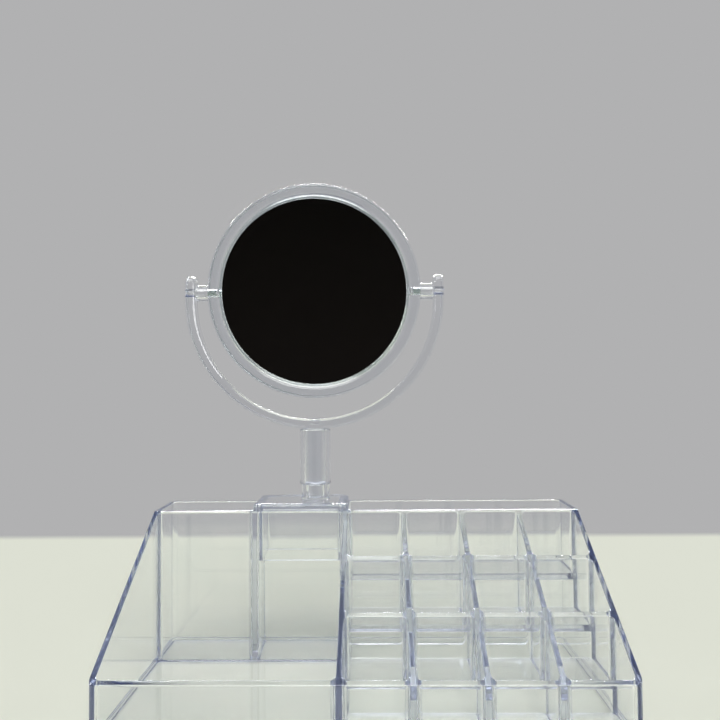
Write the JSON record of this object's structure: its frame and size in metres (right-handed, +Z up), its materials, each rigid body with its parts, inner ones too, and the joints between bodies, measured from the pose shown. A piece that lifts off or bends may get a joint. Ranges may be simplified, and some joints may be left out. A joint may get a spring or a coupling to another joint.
{
  "type": "makeup organizer",
  "caption": "Clear moulded cosmetics tray with a low sloping front, lipstick cells on stepped floors, a rear trough and a round mirror that swivels and tilts on a post.",
  "frame": {"origin": "middle of the tray's underside", "axes": "+Z up from the table, +Y from the low front towards the mirror, +X to the viewer's right"},
  "size_m": [0.2052, 0.1148, 0.2325],
  "materials": {
    "clear_polystyrene": "polished, clear, faint violet tint along the edges",
    "mirror_glass": "silvered"
  },
  "bodies": {
    "tray": {"organizer_tray": "clear_polystyrene"},
    "cap": {"stand_cap": "clear_polystyrene"},
    "swivel": {"post_sleeve": "clear_polystyrene", "mirror_fork": "clear_polystyrene"},
    "mirror": {"front_ring": "clear_polystyrene", "rear_ring": "clear_polystyrene", "front_mirror": "mirror_glass", "rear_mirror": "mirror_glass", "pivot_pin_left": "clear_polystyrene", "pivot_pin_right": "clear_polystyrene", "pivot_sleeve_left": "clear_polystyrene", "pivot_sleeve_right": "clear_polystyrene"}
  },
  "joints": [
    {"name": "cap_lift", "type": "slide", "parent": "tray", "child": "cap", "axis": [0, 0, 1], "range_m": [0, 0.03]},
    {"name": "post_swivel", "type": "hinge", "parent": "cap", "child": "swivel", "pos_m": [-0.0247, 0.0403, 0.0839], "axis": [0, 0, 1], "continuous": true},
    {"name": "mirror_tilt", "type": "hinge", "parent": "swivel", "child": "mirror", "pos_m": [-0.0247, 0.0403, 0.1793], "axis": [1, 0, 0], "continuous": true}
  ]
}
